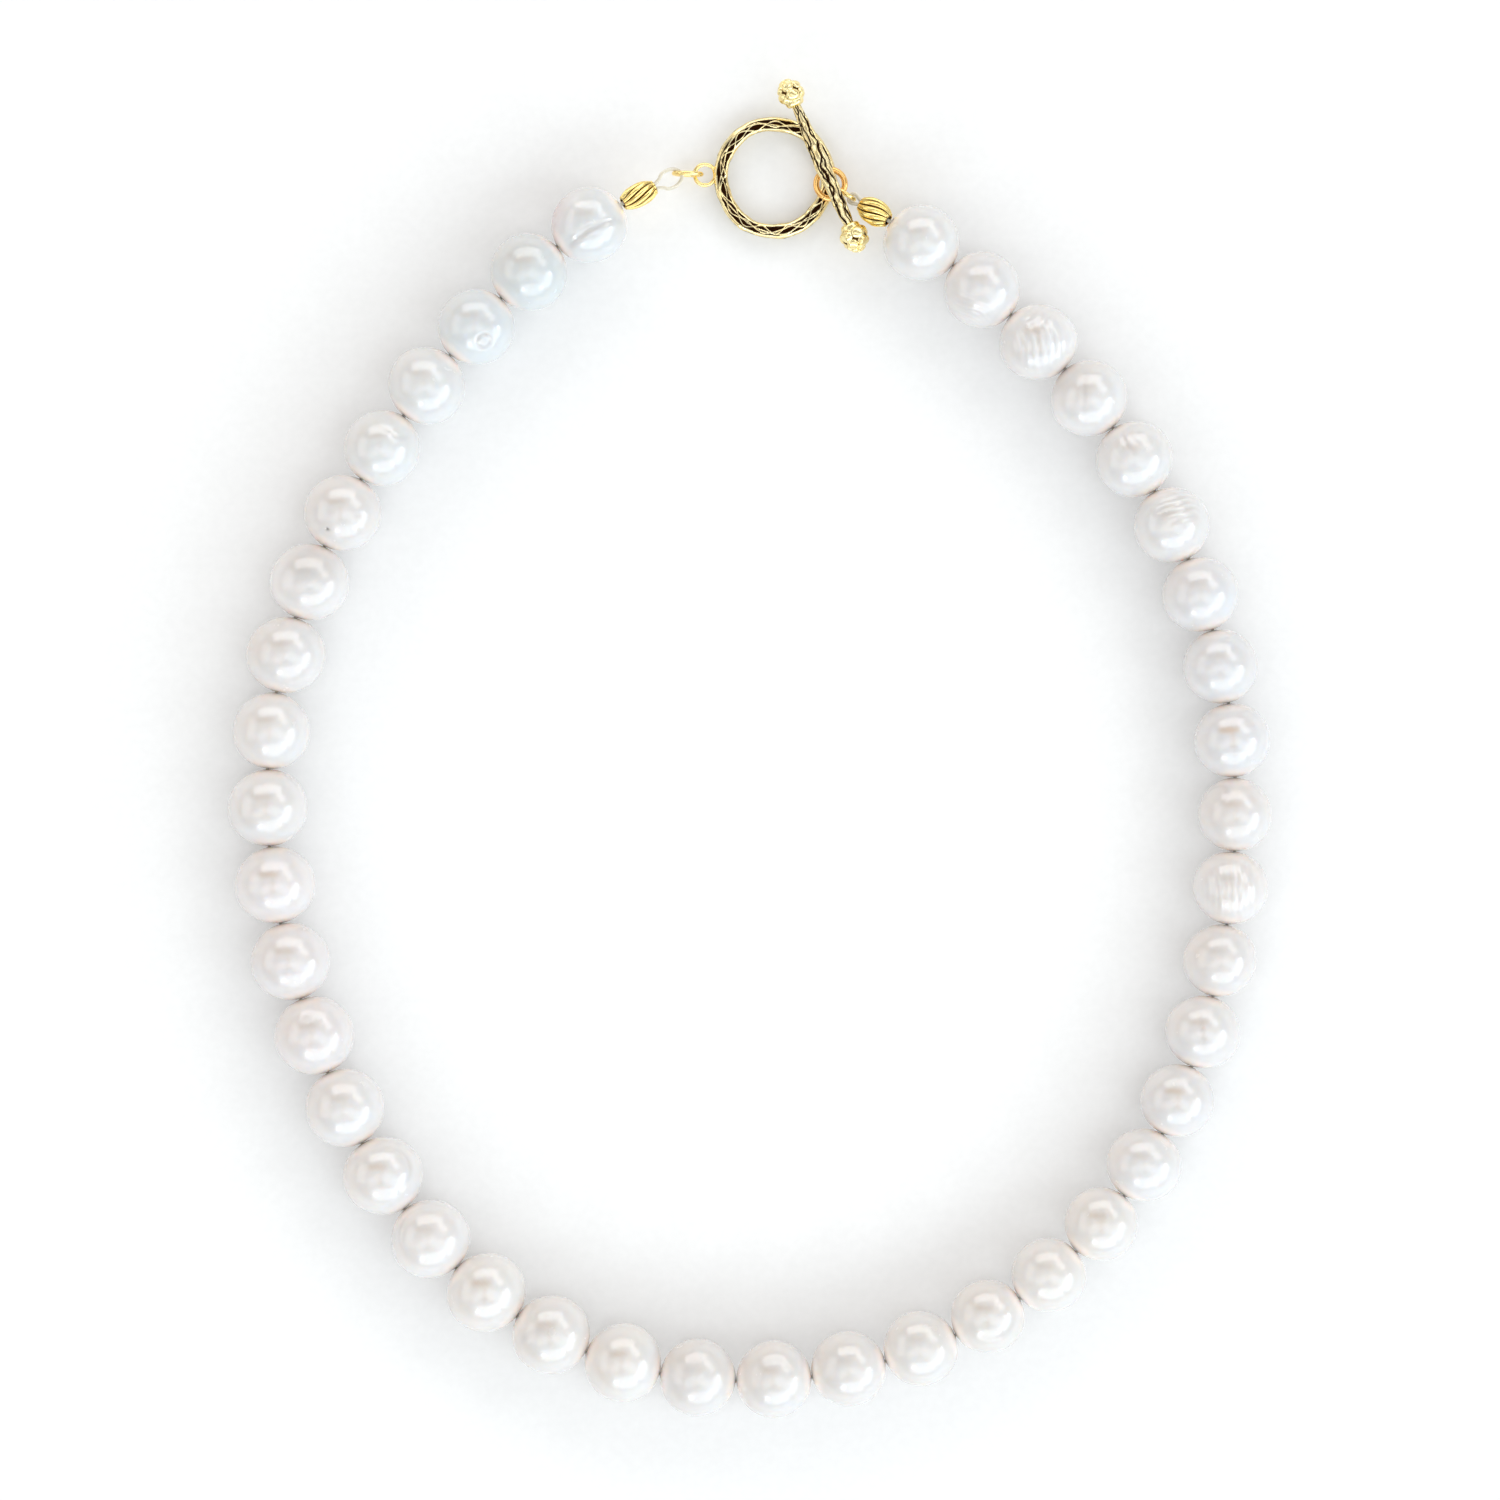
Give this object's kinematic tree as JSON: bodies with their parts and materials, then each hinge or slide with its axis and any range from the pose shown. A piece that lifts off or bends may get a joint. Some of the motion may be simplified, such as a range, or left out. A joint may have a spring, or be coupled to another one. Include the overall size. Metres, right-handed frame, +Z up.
{
  "type": "pearl necklace",
  "caption": "Single-strand necklace of near-round white pearls on a cord, closed by a gold toggle ring and budded bar with fluted crimp covers and small links.",
  "frame": {"origin": "on the table, under the middle of the necklace's bounding box as it lies flat", "axes": "+X to the right across the oval, +Y along the oval towards the clasp, +Z up from the table"},
  "size_m": [0.1304, 0.1674, 0.01],
  "materials": {
    "pearl": "gloss",
    "cord": "matte",
    "gold": "polished",
    "cover_gold": "polished",
    "rose_gold": "polished"
  },
  "bodies": {
    "pearl_01": {"pearl_01": "pearl"},
    "pearl_02": {"pearl_02": "pearl"},
    "pearl_03": {"pearl_03": "pearl"},
    "pearl_04": {"pearl_04": "pearl"},
    "pearl_05": {"pearl_05": "pearl"},
    "pearl_06": {"pearl_06": "pearl"},
    "pearl_07": {"pearl_07": "pearl"},
    "pearl_08": {"pearl_08": "pearl"},
    "pearl_09": {"pearl_09": "pearl"},
    "pearl_10": {"pearl_10": "pearl"},
    "pearl_11": {"pearl_11": "pearl"},
    "pearl_12": {"pearl_12": "pearl"},
    "pearl_13": {"pearl_13": "pearl"},
    "pearl_14": {"pearl_14": "pearl"},
    "pearl_15": {"pearl_15": "pearl"},
    "pearl_16": {"pearl_16": "pearl"},
    "pearl_17": {"pearl_17": "pearl"},
    "pearl_18": {"pearl_18": "pearl"},
    "pearl_19": {"pearl_19": "pearl"},
    "pearl_20": {"pearl_20": "pearl"},
    "pearl_21": {"pearl_21": "pearl", "beading_thread": "cord"},
    "pearl_22": {"pearl_22": "pearl"},
    "pearl_23": {"pearl_23": "pearl"},
    "pearl_24": {"pearl_24": "pearl"},
    "pearl_25": {"pearl_25": "pearl"},
    "pearl_26": {"pearl_26": "pearl"},
    "pearl_27": {"pearl_27": "pearl"},
    "pearl_28": {"pearl_28": "pearl"},
    "pearl_29": {"pearl_29": "pearl"},
    "pearl_30": {"pearl_30": "pearl"},
    "pearl_31": {"pearl_31": "pearl"},
    "pearl_32": {"pearl_32": "pearl"},
    "pearl_33": {"pearl_33": "pearl"},
    "pearl_34": {"pearl_34": "pearl"},
    "pearl_35": {"pearl_35": "pearl"},
    "pearl_36": {"pearl_36": "pearl"},
    "pearl_37": {"pearl_37": "pearl"},
    "pearl_38": {"pearl_38": "pearl"},
    "pearl_39": {"pearl_39": "pearl"},
    "pearl_40": {"pearl_40": "pearl"},
    "pearl_41": {"pearl_41": "pearl"},
    "cover_left": {"crimp_cover_left": "cover_gold", "crimp_tube_left": "gold"},
    "cover_right": {"crimp_cover_right": "cover_gold", "crimp_tube_right": "gold"},
    "jump_left": {"jump_ring_left": "gold"},
    "jump_right": {"jump_ring_right": "gold"},
    "bar_link": {"bar_link": "rose_gold"},
    "toggle_ring": {"toggle_ring": "gold"},
    "toggle_bar": {"toggle_bar": "gold"}
  },
  "joints": [
    {"name": "cover_left_swing", "type": "hinge", "parent": "pearl_01", "child": "cover_left", "pos_m": [-0.01621, 0.068, 0.00502], "axis": [0, 0, 1], "range_deg": [-15, 20], "deforming": ["beading_thread"]},
    {"name": "jump_ring_left_swing", "type": "hinge", "parent": "cover_left", "child": "jump_left", "pos_m": [-0.00944, 0.07202, 0.00321], "axis": [0, 0, 1], "range_deg": [-30, 30], "deforming": ["beading_thread"]},
    {"name": "toggle_ring_swing", "type": "hinge", "parent": "jump_left", "child": "toggle_ring", "pos_m": [-0.0063, 0.07191, 0.00191], "axis": [0, 0, 1], "range_deg": [-35, 35]},
    {"name": "cover_right_swing", "type": "hinge", "parent": "pearl_41", "child": "cover_right", "pos_m": [0.01748, 0.06582, 0.00502], "axis": [0, 0, -1], "range_deg": [-15, 20], "deforming": ["beading_thread"]},
    {"name": "jump_ring_right_swing", "type": "hinge", "parent": "cover_right", "child": "jump_right", "pos_m": [0.013, 0.06873, 0.00306], "axis": [0, 0, -1], "range_deg": [0, 25], "deforming": ["beading_thread"]},
    {"name": "bar_link_swing", "type": "hinge", "parent": "jump_right", "child": "bar_link", "pos_m": [0.01082, 0.07014, 0.00294], "axis": [0, 0, -1], "range_deg": [0, 25]},
    {"name": "toggle_bar_turn", "type": "hinge", "parent": "bar_link", "child": "toggle_bar", "pos_m": [0.01003, 0.07066, 0.00294], "axis": [0, 0, -1], "range_deg": [0, 60]},
    {"name": "gap_20_21", "type": "hinge", "parent": "pearl_21", "child": "pearl_20", "pos_m": [-0.0018, -0.07911, 0.00502], "axis": [0, 0, 1], "range_deg": [0, 14], "deforming": ["beading_thread"]},
    {"name": "gap_19_20", "type": "hinge", "parent": "pearl_20", "child": "pearl_19", "pos_m": [-0.01132, -0.07815, 0.00502], "axis": [0, 0, 1], "range_deg": [0, 15], "deforming": ["beading_thread"]},
    {"name": "gap_18_19", "type": "hinge", "parent": "pearl_19", "child": "pearl_18", "pos_m": [-0.02058, -0.07548, 0.00502], "axis": [0, 0, 1], "range_deg": [0, 16], "deforming": ["beading_thread"]},
    {"name": "gap_17_18", "type": "hinge", "parent": "pearl_18", "child": "pearl_17", "pos_m": [-0.02919, -0.07103, 0.00502], "axis": [0, 0, 1], "range_deg": [0, 16], "deforming": ["beading_thread"]},
    {"name": "gap_16_17", "type": "hinge", "parent": "pearl_17", "child": "pearl_16", "pos_m": [-0.03681, -0.06495, 0.00502], "axis": [0, 0, 1], "range_deg": [0, 15], "deforming": ["beading_thread"]},
    {"name": "gap_15_16", "type": "hinge", "parent": "pearl_16", "child": "pearl_15", "pos_m": [-0.04325, -0.05759, 0.00502], "axis": [0, 0, 1], "range_deg": [0, 14], "deforming": ["beading_thread"]},
    {"name": "gap_14_15", "type": "hinge", "parent": "pearl_15", "child": "pearl_14", "pos_m": [-0.04854, -0.04934, 0.00502], "axis": [0, 0, 1], "range_deg": [0, 12], "deforming": ["beading_thread"]},
    {"name": "gap_13_14", "type": "hinge", "parent": "pearl_14", "child": "pearl_13", "pos_m": [-0.05282, -0.04052, 0.00502], "axis": [0, 0, 1], "range_deg": [0, 11], "deforming": ["beading_thread"]},
    {"name": "gap_12_13", "type": "hinge", "parent": "pearl_13", "child": "pearl_12", "pos_m": [-0.05622, -0.03133, 0.00502], "axis": [0, 0, 1], "range_deg": [0, 11], "deforming": ["beading_thread"]},
    {"name": "gap_11_12", "type": "hinge", "parent": "pearl_12", "child": "pearl_11", "pos_m": [-0.0587, -0.02189, 0.00502], "axis": [0, 0, 1], "range_deg": [0, 11], "deforming": ["beading_thread"]},
    {"name": "gap_10_11", "type": "hinge", "parent": "pearl_11", "child": "pearl_10", "pos_m": [-0.06014, -0.01226, 0.00502], "axis": [0, 0, 1], "range_deg": [0, 12], "deforming": ["beading_thread"]},
    {"name": "gap_09_10", "type": "hinge", "parent": "pearl_10", "child": "pearl_09", "pos_m": [-0.06036, -0.00256, 0.00502], "axis": [0, 0, 1], "range_deg": [0, 13], "deforming": ["beading_thread"]},
    {"name": "gap_08_09", "type": "hinge", "parent": "pearl_09", "child": "pearl_08", "pos_m": [-0.05926, 0.00703, 0.00502], "axis": [0, 0, 1], "range_deg": [0, 13], "deforming": ["beading_thread"]},
    {"name": "gap_07_08", "type": "hinge", "parent": "pearl_08", "child": "pearl_07", "pos_m": [-0.05686, 0.01635, 0.00502], "axis": [0, 0, 1], "range_deg": [0, 13], "deforming": ["beading_thread"]},
    {"name": "gap_06_07", "type": "hinge", "parent": "pearl_07", "child": "pearl_06", "pos_m": [-0.05325, 0.02524, 0.00502], "axis": [0, 0, 1], "range_deg": [0, 12], "deforming": ["beading_thread"]},
    {"name": "gap_05_06", "type": "hinge", "parent": "pearl_06", "child": "pearl_05", "pos_m": [-0.04867, 0.03364, 0.00502], "axis": [0, 0, 1], "range_deg": [0, 10], "deforming": ["beading_thread"]},
    {"name": "gap_04_05", "type": "hinge", "parent": "pearl_05", "child": "pearl_04", "pos_m": [-0.04335, 0.04158, 0.00502], "axis": [0, 0, 1], "range_deg": [0, 9], "deforming": ["beading_thread"]},
    {"name": "gap_03_04", "type": "hinge", "parent": "pearl_04", "child": "pearl_03", "pos_m": [-0.0375, 0.04913, 0.00502], "axis": [0, 0, 1], "range_deg": [0, 9], "deforming": ["beading_thread"]},
    {"name": "gap_02_03", "type": "hinge", "parent": "pearl_03", "child": "pearl_02", "pos_m": [-0.03117, 0.05627, 0.00502], "axis": [0, 0, 1], "range_deg": [0, 11], "deforming": ["beading_thread"]},
    {"name": "gap_01_02", "type": "hinge", "parent": "pearl_02", "child": "pearl_01", "pos_m": [-0.02417, 0.06275, 0.00502], "axis": [0, 0, 1], "range_deg": [0, 14], "deforming": ["beading_thread"]},
    {"name": "gap_21_22", "type": "hinge", "parent": "pearl_21", "child": "pearl_22", "pos_m": [0.00768, -0.07855, 0.00502], "axis": [0, 0, -1], "range_deg": [0, 13], "deforming": ["beading_thread"]},
    {"name": "gap_22_23", "type": "hinge", "parent": "pearl_22", "child": "pearl_23", "pos_m": [0.01689, -0.07661, 0.00502], "axis": [0, 0, -1], "range_deg": [0, 14], "deforming": ["beading_thread"]},
    {"name": "gap_23_24", "type": "hinge", "parent": "pearl_23", "child": "pearl_24", "pos_m": [0.02563, -0.07334, 0.00502], "axis": [0, 0, -1], "range_deg": [0, 14], "deforming": ["beading_thread"]},
    {"name": "gap_24_25", "type": "hinge", "parent": "pearl_24", "child": "pearl_25", "pos_m": [0.03369, -0.06876, 0.00502], "axis": [0, 0, -1], "range_deg": [0, 15], "deforming": ["beading_thread"]},
    {"name": "gap_25_26", "type": "hinge", "parent": "pearl_25", "child": "pearl_26", "pos_m": [0.0408, -0.06291, 0.00502], "axis": [0, 0, -1], "range_deg": [0, 15], "deforming": ["beading_thread"]},
    {"name": "gap_26_27", "type": "hinge", "parent": "pearl_26", "child": "pearl_27", "pos_m": [0.04678, -0.05596, 0.00502], "axis": [0, 0, -1], "range_deg": [0, 14], "deforming": ["beading_thread"]},
    {"name": "gap_27_28", "type": "hinge", "parent": "pearl_27", "child": "pearl_28", "pos_m": [0.05155, -0.04817, 0.00502], "axis": [0, 0, -1], "range_deg": [0, 13], "deforming": ["beading_thread"]},
    {"name": "gap_28_29", "type": "hinge", "parent": "pearl_28", "child": "pearl_29", "pos_m": [0.05518, -0.03979, 0.00502], "axis": [0, 0, -1], "range_deg": [0, 12], "deforming": ["beading_thread"]},
    {"name": "gap_29_30", "type": "hinge", "parent": "pearl_29", "child": "pearl_30", "pos_m": [0.05782, -0.03103, 0.00502], "axis": [0, 0, -1], "range_deg": [0, 11], "deforming": ["beading_thread"]},
    {"name": "gap_30_31", "type": "hinge", "parent": "pearl_30", "child": "pearl_31", "pos_m": [0.05958, -0.02203, 0.00502], "axis": [0, 0, -1], "range_deg": [0, 10], "deforming": ["beading_thread"]},
    {"name": "gap_31_32", "type": "hinge", "parent": "pearl_31", "child": "pearl_32", "pos_m": [0.06052, -0.01287, 0.00502], "axis": [0, 0, -1], "range_deg": [0, 10], "deforming": ["beading_thread"]},
    {"name": "gap_32_33", "type": "hinge", "parent": "pearl_32", "child": "pearl_33", "pos_m": [0.0606, -0.00362, 0.00502], "axis": [0, 0, -1], "range_deg": [0, 11], "deforming": ["beading_thread"]},
    {"name": "gap_33_34", "type": "hinge", "parent": "pearl_33", "child": "pearl_34", "pos_m": [0.05974, 0.00564, 0.00502], "axis": [0, 0, -1], "range_deg": [0, 12], "deforming": ["beading_thread"]},
    {"name": "gap_34_35", "type": "hinge", "parent": "pearl_34", "child": "pearl_35", "pos_m": [0.05781, 0.0148, 0.00502], "axis": [0, 0, -1], "range_deg": [0, 12], "deforming": ["beading_thread"]},
    {"name": "gap_35_36", "type": "hinge", "parent": "pearl_35", "child": "pearl_36", "pos_m": [0.05474, 0.02368, 0.00502], "axis": [0, 0, -1], "range_deg": [0, 12], "deforming": ["beading_thread"]},
    {"name": "gap_36_37", "type": "hinge", "parent": "pearl_36", "child": "pearl_37", "pos_m": [0.05055, 0.03215, 0.00502], "axis": [0, 0, -1], "range_deg": [0, 12], "deforming": ["beading_thread"]},
    {"name": "gap_37_38", "type": "hinge", "parent": "pearl_37", "child": "pearl_38", "pos_m": [0.04534, 0.04008, 0.00502], "axis": [0, 0, -1], "range_deg": [0, 11], "deforming": ["beading_thread"]},
    {"name": "gap_38_39", "type": "hinge", "parent": "pearl_38", "child": "pearl_39", "pos_m": [0.03929, 0.04742, 0.00502], "axis": [0, 0, -1], "range_deg": [0, 10], "deforming": ["beading_thread"]},
    {"name": "gap_39_40", "type": "hinge", "parent": "pearl_39", "child": "pearl_40", "pos_m": [0.03259, 0.0542, 0.00502], "axis": [0, 0, -1], "range_deg": [0, 10], "deforming": ["beading_thread"]},
    {"name": "gap_40_41", "type": "hinge", "parent": "pearl_40", "child": "pearl_41", "pos_m": [0.02534, 0.06041, 0.00502], "axis": [0, 0, -1], "range_deg": [0, 11], "deforming": ["beading_thread"]}
  ]
}
